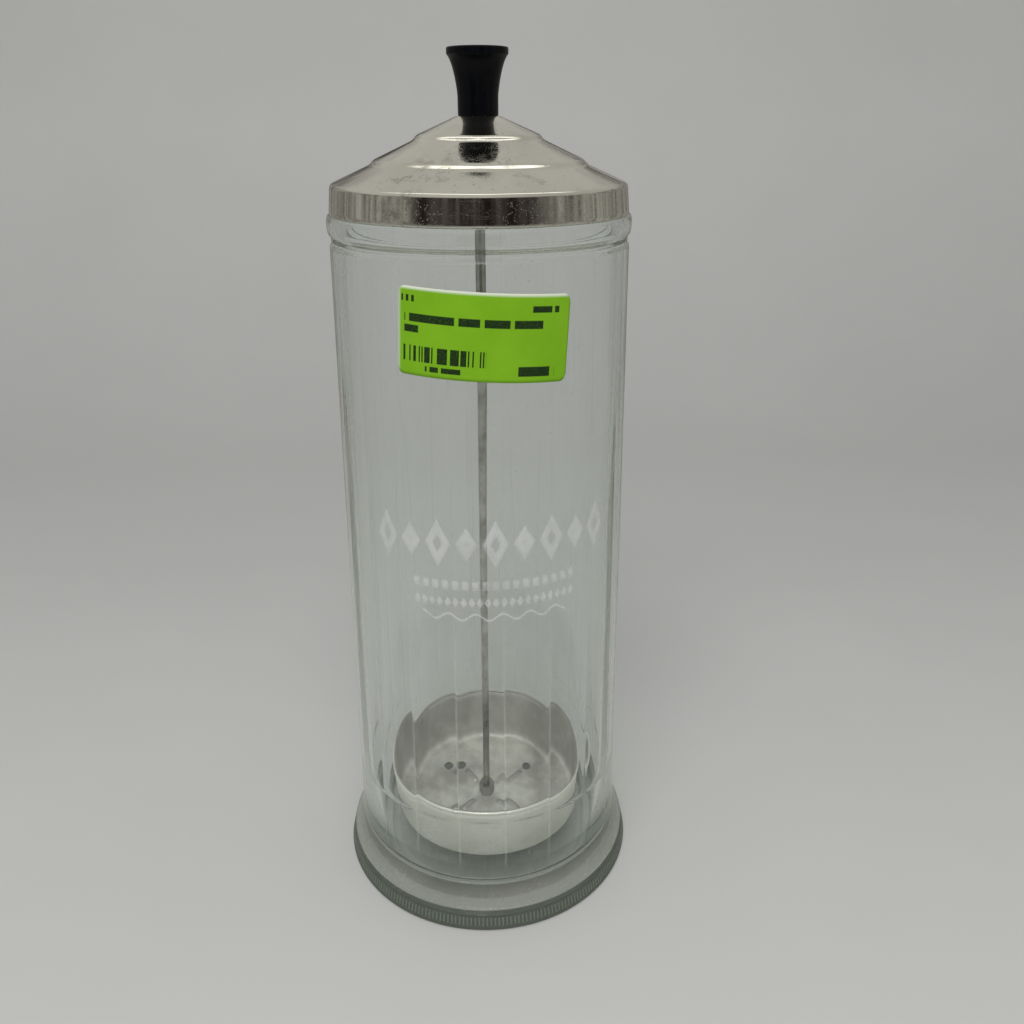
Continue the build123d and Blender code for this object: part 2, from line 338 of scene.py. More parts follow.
def jarGlassMaterial():
    # Clear glass with a worn foot. The share of dull surface is scuffing on the top of the foot, painted
    # shade on the knurled band (a dark colour with paler teeth as painted highlights) and on the underside,
    # plus scratches, painted highlights along the ribs between the flutes, splashes and a faint film.
    j, g = jar, glassWearAndPaintedLight
    material, tree, shader = newMaterial("jarGlass", (0.992, 0.996, 0.992), 0.015, IOR=1.5)
    shader.inputs["Transmission Weight"].default_value = 1.0
    place = addNode(tree, "ShaderNodeSeparateXYZ", {"Vector": objectCoords(tree)}).outputs
    high = over(tree, place[2], mm)
    out = axisDistance(tree, place)
    angle = mathNode(tree, "ARCTAN2", place[1], place[0])
    rim = rangeNode(tree, out, *g["rimOut"])
    band = times(tree, rim, rangeNode(tree, high, j["bandTop"], j["bandTop"] + 0.3, 1.0, 0.0))
    rows = times(tree, rangeNode(tree, high, j["knurlLow"], j["knurlLow"] + 0.4),
                 rangeNode(tree, high, j["knurlHigh"] - 0.4, j["knurlHigh"], 1.0, 0.0))
    teeth = times(tree, times(tree, rows, band), rangeNode(
        tree, mathNode(tree, "SINE", times(tree, angle, float(j["knurlTeeth"]))), -0.2, 0.8))
    waves = noiseNode(tree, objectCoords(tree, (1, 1, 0.5)), 45.0, 2.0)
    height = plus(tree, times(tree, teeth, 0.2), times(tree, waves, 0.16))
    bumped = addBump(tree, shader, height, 0.6, 0.001)
    smear = useGroup(tree, mottle, **{"Patch Scale": 40.0, "Grain Scale": 700.0})
    hair = useGroup(tree, scratches, Scale=420.0, Width=0.01)["Mask"]
    tree.links.new(rangeNode(tree, smear["Cloud"], 0.45, 0.75, 0.0, 0.05), shader.inputs["Roughness"])
    flare = times(tree, rangeNode(tree, out, *g["flareOut"]),
                  rangeNode(tree, high, *g["flareHigh"], g["flareShare"], 0.0))
    flare = times(tree, flare, rangeNode(tree, smear["Cloud"], 0.3, 0.7, 0.75, 1.25))
    # The underside's dull share darkens the view through the base: painted shade.
    under = times(tree, rangeNode(tree, out, *g["underOut"]),
                  rangeNode(tree, high, *g["underHigh"], 0.0, g["underShadeShare"]))
    hazeAndPaintedLight = larger(tree, larger(tree, flare, under), times(tree, band, g["bandShadeShare"]))
    wearAndRibHighlight = times(tree, hair, rangeNode(tree, high, *g["hairHigh"], *g["hairShare"]))
    turned = minus(tree, angle, math.radians(j["fluteTurn"]))
    fromRib = absolute(tree, mathNode(tree, "SINE", times(tree, turned, j["flutes"] / 2)))
    # Pale lines along the ribs: painted highlight of the light that the ribs refract.
    ribHighlight = times(tree, rangeNode(tree, fromRib, *g["ribWide"], g["ribHighlightShare"], 0.0),
                rangeNode(tree, out, *g["ribOut"]))
    ribHighlight = times(tree, ribHighlight, times(tree, rangeNode(tree, high, *g["ribLow"]),
                                 rangeNode(tree, high, *g["ribHigh"], 1.0, g["ribHighlightLeft"])))
    splash = times(tree, useGroup(tree, spots, Scale=330.0, Size=0.2, Share=0.1)["Mask"],
                   rangeNode(tree, smear["Cloud"], 0.5, 0.62, 0.0, g["splashShare"]))
    film = times(tree, rangeNode(tree, high, *g["filmLow"], 0.0, g["filmShare"]),
                 rangeNode(tree, high, *g["filmHigh"], 1.0, g["filmLeft"]))
    wearAndRibHighlight = plus(tree, plus(tree, wearAndRibHighlight, film), plus(tree, ribHighlight, splash))
    hazeAndPaintedLight = plus(tree, hazeAndPaintedLight, wearAndRibHighlight, clamp=True)
    dullAndShadeColour = mixColour(tree, rangeNode(tree, high, *g["footHigh"]), g["footColour"], g["bodyColour"])
    # The band's dark colour is painted shade, and the teeth's paler colour is painted highlight.
    dullAndShadeColour = mixColour(tree, band, dullAndShadeColour, g["bandShadeColour"])
    dullAndShadeColour = mixColour(tree, teeth, dullAndShadeColour, g["teethHighlightColour"])
    matt = addNode(tree, "ShaderNodeBsdfDiffuse", {"Color": dullAndShadeColour, "Normal": bumped})
    # This mix also carries the painted shade and highlights of the band, the underside and the ribs.
    worn = addNode(tree, "ShaderNodeMixShader", {0: hazeAndPaintedLight, 1: shader.outputs[0], 2: matt.outputs[0]})
    # Lamps and bounced light pass straight through, so that the inside isn't black, and so does
    # light that has been caught between the two faces of the wall for a few turns.
    paths = addNode(tree, "ShaderNodeLightPath").outputs
    caught = mathNode(tree, "GREATER_THAN", paths["Glossy Depth"], 2.5)
    through = larger(tree, larger(tree, paths["Is Shadow Ray"], paths["Is Diffuse Ray"]), caught)
    dark = larger(tree, hazeAndPaintedLight, rangeNode(tree, high, *g["shadeHigh"], 0.0, g["shadeShare"]))
    shade = mixColour(tree, dark, (0.93, 0.945, 0.935, 1), (0.5, 0.51, 0.5, 1))
    clear = addNode(tree, "ShaderNodeBsdfTransparent", {"Color": shade})
    mix = addNode(tree, "ShaderNodeMixShader", {0: through, 1: worn.outputs[0], 2: clear.outputs[0]})
    end = tree.nodes["Material Output"]
    tree.links.new(mix.outputs[0], end.inputs["Surface"])
    depth = addNode(tree, "ShaderNodeVolumeAbsorption", {"Color": g["glassTint"], "Density": g["tintDepth"]})
    tree.links.new(depth.outputs[0], end.inputs["Volume"])
    return material


def makeJar():
    # Radius = profile radius at that height, plus on the bore the flutes: hollow = depth * fade(height) *
    # (1 - (angle from the flute's middle / half its width)^2), a shallow round hollow between two ribs,
    # and sqrt(hollow^2 + softness^2) takes the knife edge off the ribs.
    j = jar
    edge = j["edgeRound"]
    foot = roundedPath([(0, j["pushup"]), (j["restRadius"] - 6, j["pushup"]), (j["restRadius"], 0),
                        (j["footRadius"], 0), (j["footRadius"], 1.7),
                        (j["bandTopRadius"] + 0.15, j["bandTop"] - 0.6), (j["bandTopRadius"], j["bandTop"]),
                        (j["bandTopRadius"] - 0.2 * edge, j["bandTop"] + 0.6 * edge)],
                       [2.0, 2.0, 1.4, 0, 0, 0])
    flare = softCurve((j["bandTopRadius"] - 1.1 * edge, j["bandTop"] + edge), (-2.4, 7.5),
                      (j["bodyLowRadius"], j["bodyLow"]), (-0.3, 11.0), 20)
    outside = roundedPath([flare[-1], *((bodyRadius(z), z) for z in (60, 110, 160, 200)),
                           (j["bodyHighRadius"], j["bodyHigh"]), (j["grooveRadius"], j["bodyHigh"] + 0.7),
                           (j["grooveRadius"], j["beadLow"] - 0.2)], [0, 0, 0, 0, 0.8, 0.3], steps=6)
    sweep = 0.42 * math.pi  # the bead is a little less than half a circle
    beadAngle = np.linspace(-sweep, sweep, 17)
    beadRise = (j["beadHigh"] - j["beadLow"]) / 2 * np.sin(beadAngle) / math.sin(sweep)
    bead = np.stack([j["grooveRadius"] + (j["beadRadius"] - j["grooveRadius"]) * np.cos(beadAngle) ** 0.7,
                     (j["beadLow"] + j["beadHigh"]) / 2 + beadRise], axis=1)
    top, bottomEnd = j["fluteHigh"] + j["fluteHighFade"], j["fluteLow"] - j["fluteLowFade"]
    neck = roundedPath([(bead[-1, 0] - 0.3, j["beadHigh"]), (j["neckRadius"], j["beadHigh"]),
                        (j["neckRadius"], j["mouthHigh"]), (j["mouthRadius"], j["mouthHigh"]),
                        (j["mouthRadius"], j["beadHigh"] - 4), (j["boreHighRadius"], top + 1)],
                       [0.4, 0.9, 0.9, 6.0])
    heights = np.concatenate([np.linspace(top, j["fluteHigh"], 24),
                              np.linspace(j["fluteHigh"], j["fluteLow"], 12)[1:],
                              np.linspace(j["fluteLow"], bottomEnd, 14)[1:]])
    slope = (j["boreHighRadius"] - j["boreLowRadius"]) / (top - j["fluteLow"])
    boreRadius = j["boreLowRadius"] + slope * np.clip(heights - j["fluteLow"], 0, None)
    bore = np.stack([boreRadius, heights], axis=1)
    bottom = roundedPath([(j["boreLowRadius"], bottomEnd - 1), (j["boreLowRadius"], j["floor"]),
                          (0, j["floor"])], [j["cornerRadius"]], steps=12)
    ring = np.array([[30.0, j["floor"]], [15.0, j["floor"]]])
    path = np.concatenate([foot[:1], [[20.0, j["pushup"]]], foot[1:], flare, outside[1:], bead, neck,
                           bore, bottom[:-1], ring, bottom[-1:]])
    perFlute = j["columnsPerFlute"]
    across = np.sin(np.linspace(-math.pi / 2, math.pi / 2, perFlute, endpoint=False))
    half = math.pi / j["flutes"]
    angles = ((np.arange(j["flutes"])[:, None] * 2 + 1 + across[None]) * half).ravel()
    offCentre = np.tile(across * half, j["flutes"])
    angles = angles + math.radians(j["fluteTurn"])
    # The flutes go on the bore's rows only; row 0 of the grid is the path's second point.
    before = len(foot) + len(flare) + len(outside) + len(bead) + len(neck) - 1
    rows = slice(before, before + len(bore))

    def fluted(radius, height, angle):
        high = height[rows]
        fade = np.clip((top - high) / j["fluteHighFade"], 0, 1)
        fade = fade * np.sqrt(1 - np.clip((j["fluteLow"] - high) / j["fluteLowFade"], 0, 1) ** 2)
        hollow = j["fluteDepth"] * fade * (1 - (offCentre / half) ** 2)
        radius[rows] += np.sqrt(hollow ** 2 + (j["ribSoftness"] * fade) ** 2)
        return radius

    piece = turnedPiece("jarGlass", path, jarGlassMaterial(), "jar", angles, shape=fluted)
    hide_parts("glass_jar")
    print("jar glass:", len(path) - 2, "rows,", len(angles), "columns")


makeJar()


ornament = {"middle": 137.5, "turn": -86.0, "halfWidth": 37.0, "lift": 0.03, "film": 0.03}


def wrapped(points, lift):
    # (along, up) on the flat print goes to (angle = along / radius, height = up) on the cone of the body.
    height = ornament["middle"] + points[..., 1]
    radius = bodyRadius(height)
    angle = math.radians(ornament["turn"]) + points[..., 0] / radius
    return np.stack([(radius + lift) * np.cos(angle), (radius + lift) * np.sin(angle), height], axis=-1)


def strip(x0, x1, low, high, steps=60):
    # A band from x0 to x1 whose lower and upper edges are constants or functions of x.
    x = np.linspace(x0, x1, steps)
    edges = [np.broadcast_to(e(x) if callable(e) else e, x.shape) for e in (low, high)]
    grid = np.stack([np.stack([x, e], axis=-1) for e in edges])
    return grid.reshape(-1, 2), gridFaces(2, steps, wrapCols=False)


def lozenge(x, y, halfWidth, halfHeight, core, steps=8):
    # A diamond frame: |u| / w + |v| / h = 1 outside, the same shape at core times its size inside.
    t = np.linspace(0, 4, 4 * steps, endpoint=False)
    corner = np.array([(1, 0), (0, 1), (-1, 0), (0, -1), (1, 0)], dtype=float)
    k = np.floor(t).astype(int)
    edge = corner[k] + (corner[k + 1] - corner[k]) * (t - k)[:, None]
    outer = edge * np.array([halfWidth, halfHeight])
    grid = np.stack([outer, outer * core]) + (x, y)
    return grid.reshape(-1, 2), gridFaces(2, len(t))


def printMaterial():
    material, tree, shader = newMaterial("frostPrint", (0.93, 0.95, 0.94), 0.75)
    cover = useGroup(tree, mottle, **{"Patch Scale": 90.0, "Grain Scale": 1600.0})
    worn = times(tree, cover["Cloud"], cover["Grain"])
    tree.links.new(rangeNode(tree, worn, 0.12, 0.3, 0.07, 0.25), shader.inputs["Alpha"])
    tree.links.new(rangeNode(tree, cover["Grain"], 0.3, 0.7, 0.6, 0.85), shader.inputs["Roughness"])
    return material


def makePrint():
    w = ornament["halfWidth"]
    shapes = []
    for i in range(9):  # tall diamond frames with small solid ones between them
        x = (i - 4) * w / 4.25
        shapes.append(lozenge(x, 9.0, 4.0, 7.8, 0.34) if i % 2 == 0 else lozenge(x, 9.0, 3.4, 5.6, 0.05))
    for i in range(17):  # a row of short bars
        x = (i - 8) * w / 12.0
        shapes.append(strip(x - 1.05, x + 1.05, -5.9, -3.0, 3))
    for i in range(21):  # a row of small diamonds
        shapes.append(lozenge((i - 10) * w / 15.0, -10.2, 1.15, 1.8, 0.05, 2))
    shapes.append(strip(-0.62 * w, 0.62 * w, lambda x: -15.6 + 1.1 * np.sin(x * 0.75),
                        lambda x: -14.7 + 1.1 * np.sin(x * 0.75), 160))
    verts, faces, count = [], [], 0
    for points, quads in shapes:
        verts.append(points)
        faces.append(quads + count)
        count += len(points)
    faces = np.concatenate(faces)
    verts = wrapped(np.concatenate(verts), ornament["lift"])
    a, b, c = verts[faces[:, 0]], verts[faces[:, 1]], verts[faces[:, 2]]
    inward = np.einsum("ij,ij->i", np.cross(b - a, c - a)[:, :2], a[:, :2]) < 0
    faces[inward] = faces[inward, ::-1]
    piece = makeObject("frostPrint", verts, faces, printMaterial(), "jar")
    film = piece.modifiers.new("film", "SOLIDIFY")
    film.thickness = ornament["film"] * mm
    film.offset = 1.0
    print("print:", len(shapes), "shapes")


makePrint()


# Areas on the paper are (left, right, bottom, top) as shares of its size; dashes add a count and a seed.
label = {
    "width": 48.6, "height": 24.0, "corner": 2.1, "middle": 207.3, "turn": -89.2, "tilt": 3.5,
    "gap": 0.02, "paper": 0.15, "bars": (0.035, 0.52, 0.16, 0.35),
    "dashes": [(0.02, 0.11, 0.83, 0.91, 60, 11.0), (0.75, 0.93, 0.79, 0.87, 60, 17.0),
               (0.04, 0.84, 0.61, 0.71, 42, 23.0), (0.04, 0.13, 0.49, 0.58, 42, 31.0),
               (0.17, 0.38, 0.06, 0.13, 60, 47.0), (0.70, 0.92, 0.07, 0.19, 36, 61.0)],
}


def labelMaterial():
    green, pale, ink = (0.22, 0.50, 0.012, 1), (0.74, 0.78, 0.66, 1), (0.012, 0.035, 0.008, 1)
    material, tree, shader = newMaterial("labelPaper", green[:3], 0.55)
    shader.inputs["Specular IOR Level"].default_value = 0.25
    coords = addNode(tree, "ShaderNodeTexCoord").outputs["UV"]
    place = addNode(tree, "ShaderNodeSeparateXYZ", {"Vector": coords}).outputs
    u, v = place[0], place[1]

    def window(value, low, high, soft):
        return times(tree, rangeNode(tree, value, low, low + soft),
                     rangeNode(tree, value, high - soft, high, 1.0, 0.0))

    def box(x0, x1, y0, y1):
        return times(tree, window(u, x0, x1, 0.004), window(v, y0, y1, 0.008))

    def dashes(count, seed, share):
        cell = mathNode(tree, "FLOOR", times(tree, u, float(count)))
        random = addNode(tree, "ShaderNodeTexWhiteNoise", {"W": plus(tree, cell, seed)},
                         noise_dimensions="1D").outputs["Value"]
        return mathNode(tree, "LESS_THAN", random, share)

    marks = times(tree, box(*label["bars"]), dashes(120, 3.7, 0.52))
    for *area, count, seed in label["dashes"]:
        marks = larger(tree, marks, times(tree, box(*area), dashes(count, seed, 0.78)))
    grain = useGroup(tree, mottle, **{"Patch Scale": 70.0, "Grain Scale": 2600.0})
    paper = mixColour(tree, rangeNode(tree, grain["Cloud"], 0.35, 0.65), (0.205, 0.475, 0.009, 1),
                      (0.235, 0.52, 0.014, 1))
    edge = larger(tree, rangeNode(tree, u, 0.0, 0.02, 1.0, 0.0), rangeNode(tree, v, 0.955, 0.99))
    paper = mixColour(tree, edge, paper, pale)
    faded = times(tree, marks, rangeNode(tree, grain["Grain"], 0.3, 0.5, 0.86, 1.0))
    tree.links.new(mixColour(tree, faded, paper, ink), shader.inputs["Base Color"])
    tree.links.new(rangeNode(tree, grain["Grain"], 0.3, 0.7, 0.45, 0.65), shader.inputs["Roughness"])
    addBump(tree, shader, grain["Grain"], 0.15, 0.0002)
    return material


def makeLabel():
    # A rounded rectangle: the grid's columns are pulled in near the ends by a quarter circle of the
    # corner radius, then turned by the tilt and wrapped on the body.
    cols, rows = 97, 25
    s, t = np.meshgrid(np.linspace(-1, 1, cols), np.linspace(-1, 1, rows))
    x = s * label["width"] / 2
    fromEnd = label["width"] / 2 - np.abs(x)
    inCorner = np.clip(1 - fromEnd / label["corner"], 0, 1)
    halfHeight = label["height"] / 2 - label["corner"] * (1 - np.sqrt(1 - inCorner ** 2))
    y = t * halfHeight
    tilt = math.radians(-label["tilt"])
    along = x * math.cos(tilt) - y * math.sin(tilt)
    height = label["middle"] + x * math.sin(tilt) + y * math.cos(tilt)
    radius = bodyRadius(height) + label["gap"]
    angle = math.radians(label["turn"]) + along / radius
    verts = np.stack([radius * np.cos(angle), radius * np.sin(angle), height], axis=-1).reshape(-1, 3)
    uv = np.stack([(s + 1) / 2, y / label["height"] + 0.5], axis=-1).reshape(-1, 2)
    faces = gridFaces(rows, cols, wrapCols=False)
    piece = makeObject("priceSticker", verts, faces, labelMaterial(), "jar", uv=uv)
    paper = piece.modifiers.new("paper", "SOLIDIFY")
    paper.thickness = label["paper"] * mm
    paper.offset = 1.0
    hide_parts("price_label")
    print("label wrapped")


makeLabel()


lid = {
    "outer": [(2.72, 261.6), (6.4, 261.6), (18.0, 256.7), (19.1, 255.3), (30.8, 250.0), (32.1, 248.6),
              (43.8, 243.5), (44.6, 235.2)],
    "outerRadii": [1.5, 3.2, 3.2, 4.2, 4.2, 1.6],
    "inner": [(43.8, 235.2), (43.2, 241.9), (42.4, 243.25), (31.7, 247.9), (30.35, 249.3), (18.6, 254.65),
              (17.5, 256.05), (6.25, 260.8), (2.72, 260.8)],
    "innerRadii": [0.5, 0.6, 0.6, 0.3, 0.6, 0.3, 0.8],
}


def lidMaterial():
    material, tree, shader = newMaterial("polishedSteel", (0.80, 0.79, 0.77), 0.07, Metallic=1.0)
    hair = useGroup(tree, scratches, Scale=300.0, Width=0.008)["Mask"]
    cloud = useGroup(tree, mottle, **{"Patch Scale": 55.0, "Grain Scale": 1200.0})
    specks = useGroup(tree, spots, Scale=620.0, Size=0.22, Share=0.16)["Mask"]
    tint = mixColour(tree, rangeNode(tree, cloud["Cloud"], 0.4, 0.7), (0.86, 0.845, 0.775, 1),
                     (0.76, 0.745, 0.67, 1))
    tint = mixColour(tree, times(tree, specks, 0.55), tint, (0.34, 0.33, 0.30, 1))
    place = addNode(tree, "ShaderNodeSeparateXYZ", {"Vector": objectCoords(tree)}).outputs
    skirt = rangeNode(tree, place[2], 0.2425, 0.2415)
    splashes = times(tree, useGroup(tree, spots, Scale=1700.0, Size=0.3, Share=0.6)["Mask"],
                     times(tree, skirt, rangeNode(tree, cloud["Cloud"], 0.42, 0.53)))
    specks = larger(tree, specks, splashes)
    blots = rangeNode(tree, noiseNode(tree, objectCoords(tree), 160.0, 8.0, 0.75), 0.53, 0.60)
    stain = times(tree, blots, rangeNode(tree, noiseNode(tree, objectCoords(tree), 28.0), 0.5, 0.62))
    tint = mixColour(tree, times(tree, stain, 0.55), tint, (0.34, 0.32, 0.26, 1))
    tree.links.new(mixColour(tree, times(tree, hair, 0.3), tint, (0.93, 0.93, 0.92, 1)),
                   shader.inputs["Base Color"])
    rough = plus(tree, rangeNode(tree, cloud["Cloud"], 0.35, 0.7, 0.06, 0.14), times(tree, hair, 0.16))
    rough = plus(tree, rough, times(tree, specks, 0.36))
    tree.links.new(plus(tree, rough, times(tree, stain, 0.2)), shader.inputs["Roughness"])
    swirl = noiseNode(tree, objectCoords(tree), 70.0, 2.0)
    height = plus(tree, times(tree, swirl, 0.08), times(tree, hair, -0.01))
    height = plus(tree, height, times(tree, splashes, -0.03))
    addBump(tree, shader, height, 0.5, 0.001)
    return material


def makeLid():
    outer = spacedPath(roundedPath(lid["outer"], lid["outerRadii"], 10), 1.5)
    inner = spacedPath(roundedPath(lid["inner"], lid["innerRadii"], 4), 2.5)
    lip = (outer[-1] + inner[0]) / 2
    path = np.concatenate([outer[:-1], [outer[-1] + (-0.05, 0.25)], [outer[-1] - (0.2, 0)], [lip],
                           [inner[0] + (0.2, 0)], [inner[0] + (0.0, 0.25)], inner[1:]])
    piece = turnedPiece("lidDome", path, lidMaterial(), "lid", evenAngles(240), closedLoop=True)
    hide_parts("lid_shell")
    print("lid turned:", len(path), "rows")


makeLid()


knob = {"low": 261.6, "high": 279.4, "topRadius": 8.8, "neckRadius": 5.85, "recessRadius": 4.7,
        "recess": 1.0, "insertRadius": 3.0, "insertTop": 273.6, "edge": 1.8}


def knobMaterial():
    material, tree, shader = newMaterial("knobPlastic", (0.003, 0.0035, 0.005), 0.3)
    shader.inputs["Specular IOR Level"].default_value = 0.15
    streaks = noiseNode(tree, objectCoords(tree, (1, 1, 0.03)), 900.0, 3.0, 0.6)
    hair = useGroup(tree, scratches, Scale=500.0, Width=0.006)["Mask"]
    tint = mixColour(tree, rangeNode(tree, streaks, 0.4, 0.75), (0.0018, 0.0022, 0.0032, 1),
                     (0.004, 0.0046, 0.0064, 1))
    tree.links.new(mixColour(tree, times(tree, hair, 0.2), tint, (0.03, 0.03, 0.03, 1)),
                   shader.inputs["Base Color"])
    tree.links.new(rangeNode(tree, streaks, 0.35, 0.7, 0.22, 0.38), shader.inputs["Roughness"])
    addBump(tree, shader, streaks, 0.2, 0.0002)
    return material


def makeKnob():
    k = knob
    grip = k["high"] - k["edge"]
    side = softCurve((k["neckRadius"], k["low"] + 5), (0.2, 7.0), (k["topRadius"], grip), (5.2, 4.6), 18)
    path = np.concatenate([
        roundedPath([(k["recessRadius"], k["low"]), (k["neckRadius"], k["low"]), side[0]], [0.35], 4)[:-1],
        side,
        roundedPath([(k["topRadius"], grip + 0.1), (k["topRadius"], k["high"]), (3.0, k["high"])],
                    [0.5], 5),
        [[0, k["high"] - 0.05], [0, k["insertTop"]]]])
    under = np.array([(k["insertRadius"], k["insertTop"]), (k["insertRadius"], k["low"] + k["recess"]),
                      (k["recessRadius"], k["low"] + k["recess"])])
    full = np.concatenate([path[:-1][::-1], under[::-1], [[0, k["insertTop"]]]])
    piece = turnedPiece("knobGrip", full, knobMaterial(), "lift", evenAngles(128))
    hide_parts("knob")
    print("knob turned:", len(full), "rows")


makeKnob()


rod = {"radius": 1.6, "low": 13.3, "high": 272.4, "threadTop": 26.0, "pitch": 0.7, "depth": 0.13}


def steelMaterial(name, dark, bright, rough, stain, patch=60.0):
    material, tree, shader = newMaterial(name, bright, rough[0], Metallic=1.0)
    cloud = useGroup(tree, mottle, **{"Patch Scale": patch, "Grain Scale": 1500.0})
    specks = useGroup(tree, spots, Scale=520.0, Size=0.3, Share=0.3)["Mask"]
    tint = mixColour(tree, rangeNode(tree, cloud["Cloud"], 0.35, 0.68), (*dark, 1), (*bright, 1))
    tint = mixColour(tree, times(tree, specks, stain), tint, (0.52, 0.51, 0.47, 1))
    tree.links.new(tint, shader.inputs["Base Color"])
    spread = rangeNode(tree, cloud["Cloud"], 0.3, 0.7, rough[0], rough[1])
    tree.links.new(plus(tree, spread, times(tree, specks, 0.2)), shader.inputs["Roughness"])
    height = plus(tree, cloud["Grain"], times(tree, cloud["Cloud"], 2.0))
    addBump(tree, shader, height, 0.25, 0.0002)
    return material


def makeRod():
    # Radius = rod radius less the thread: depth * triangle wave of (height / pitch - angle / turn).
    r = rod
    threads = np.arange(r["low"] + 0.5, r["threadTop"], 0.1)
    shank = np.linspace(r["threadTop"], r["high"], 30)
    z = np.concatenate([threads, shank])
    path = np.concatenate([[[0, r["low"]], [r["radius"] - 0.45, r["low"]]],
                           np.stack([np.full(len(z), r["radius"]), z], axis=1), [[0, r["high"]]]])

    def thread(radius, height, angle):
        wave = np.abs((height / r["pitch"] - angle / (2 * math.pi)) % 1 * 2 - 1)
        fade = np.clip((r["threadTop"] - height) / 0.8, 0, 1) * (radius > r["radius"] - 0.1)
        return radius - r["depth"] * wave * fade

    steel = steelMaterial("rodSteel", (0.25, 0.24, 0.22), (0.56, 0.55, 0.53), (0.26, 0.42), 0.45, 130.0)
    piece = turnedPiece("liftRod", path, steel, "lift", evenAngles(48), shape=thread)
    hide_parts("lift_rod")
    print("rod turned:", len(path), "rows")


makeRod()


tray = {
    "low": 16.6, "sheet": 0.7, "holeRadius": 1.7, "footRadius": 35.2, "rimRadius": 37.2, "wallHigh": 38.6,
    "corner": 3.2, "roll": 0.75, "ribs": 4, "ribStart": 8.0, "ribEnd": 16.5, "ribHalf": 1.6, "ribRise": 0.95,
    "drainRadius": 2.4, "drainCircle": 21.0, "firstRib": 42.0, "columns": 300,
}


def trayMaterial():
    # The inner wall is painted darker than the floor (painted shade) and the outer skin paler (painted sheen
    # of the bright floor it faces): the outer skin is where the distance from the axis exceeds the wall's
    # middle, footRadius + slope * (height - low) - sheet / 2. Painted shade lies beside the ribs.
    t = tray
    material, tree, shader = newMaterial("traySteel", (0.78, 0.77, 0.72), 0.45, Metallic=0.6)
    place = addNode(tree, "ShaderNodeSeparateXYZ", {"Vector": objectCoords(tree)}).outputs
    high = over(tree, place[2], mm)
    out = axisDistance(tree, place)
    slope = (t["rimRadius"] - t["footRadius"]) / (t["wallHigh"] - t["low"])
    middle = plus(tree, times(tree, minus(tree, high, t["low"]), slope), t["footRadius"] - t["sheet"] / 2)
    outer = mathNode(tree, "GREATER_THAN", out, middle)
    cloud = useGroup(tree, mottle, **{"Patch Scale": 60.0, "Grain Scale": 1500.0})
    specks = useGroup(tree, spots, Scale=420.0, Size=0.3, Share=0.3)["Mask"]
    hair = useGroup(tree, scratches, Scale=300.0, Width=0.012)["Mask"]
    patch = rangeNode(tree, cloud["Cloud"], 0.35, 0.68)
    base = mixColour(tree, patch, (0.54, 0.525, 0.49, 1), (0.98, 0.96, 0.90, 1))
    # The inner wall's darker colour is painted shade.
    side = mixColour(tree, patch, (0.42, 0.405, 0.38, 1), (0.62, 0.605, 0.575, 1))
    # Darker beside the stamped ribs: painted shade.
    turned = minus(tree, mathNode(tree, "ARCTAN2", place[1], place[0]), math.radians(t["firstRib"]))
    aside = times(tree, out, absolute(tree, mathNode(tree, "SINE", times(tree, turned, t["ribs"] / 2))))
    ribShade = times(tree, rangeNode(tree, aside, 1.0, 3.8, 0.6, 0.0), times(
        tree, rangeNode(tree, out, t["ribStart"] - 4, t["ribStart"]),
        rangeNode(tree, out, t["ribEnd"], t["ribEnd"] + 2.5, 1.0, 0.0)))
    base = mixColour(tree, ribShade, base, (0.34, 0.33, 0.30, 1))
    # The outer skin's paler colour is painted sheen from the floor it faces.
    outerSheen = mixColour(tree, patch, (0.88, 0.86, 0.79, 1), (0.99, 0.97, 0.90, 1))
    tint = mixColour(tree, rangeNode(tree, high, t["low"] + 1.0, t["low"] + 4.0), base, side)
    tint = mixColour(tree, outer, tint, outerSheen)
    tint = mixColour(tree, times(tree, specks, 0.35), tint, (0.60, 0.59, 0.55, 1))
    tree.links.new(mixColour(tree, times(tree, hair, 0.3), tint, (0.9, 0.9, 0.88, 1)),
                   shader.inputs["Base Color"])
    tree.links.new(plus(tree, rangeNode(tree, cloud["Cloud"], 0.3, 0.7, 0.38, 0.58),
                        times(tree, specks, 0.2)), shader.inputs["Roughness"])
    height = plus(tree, cloud["Grain"], times(tree, cloud["Cloud"], 2.0))
    addBump(tree, shader, height, 0.3, 0.0003)
    return material


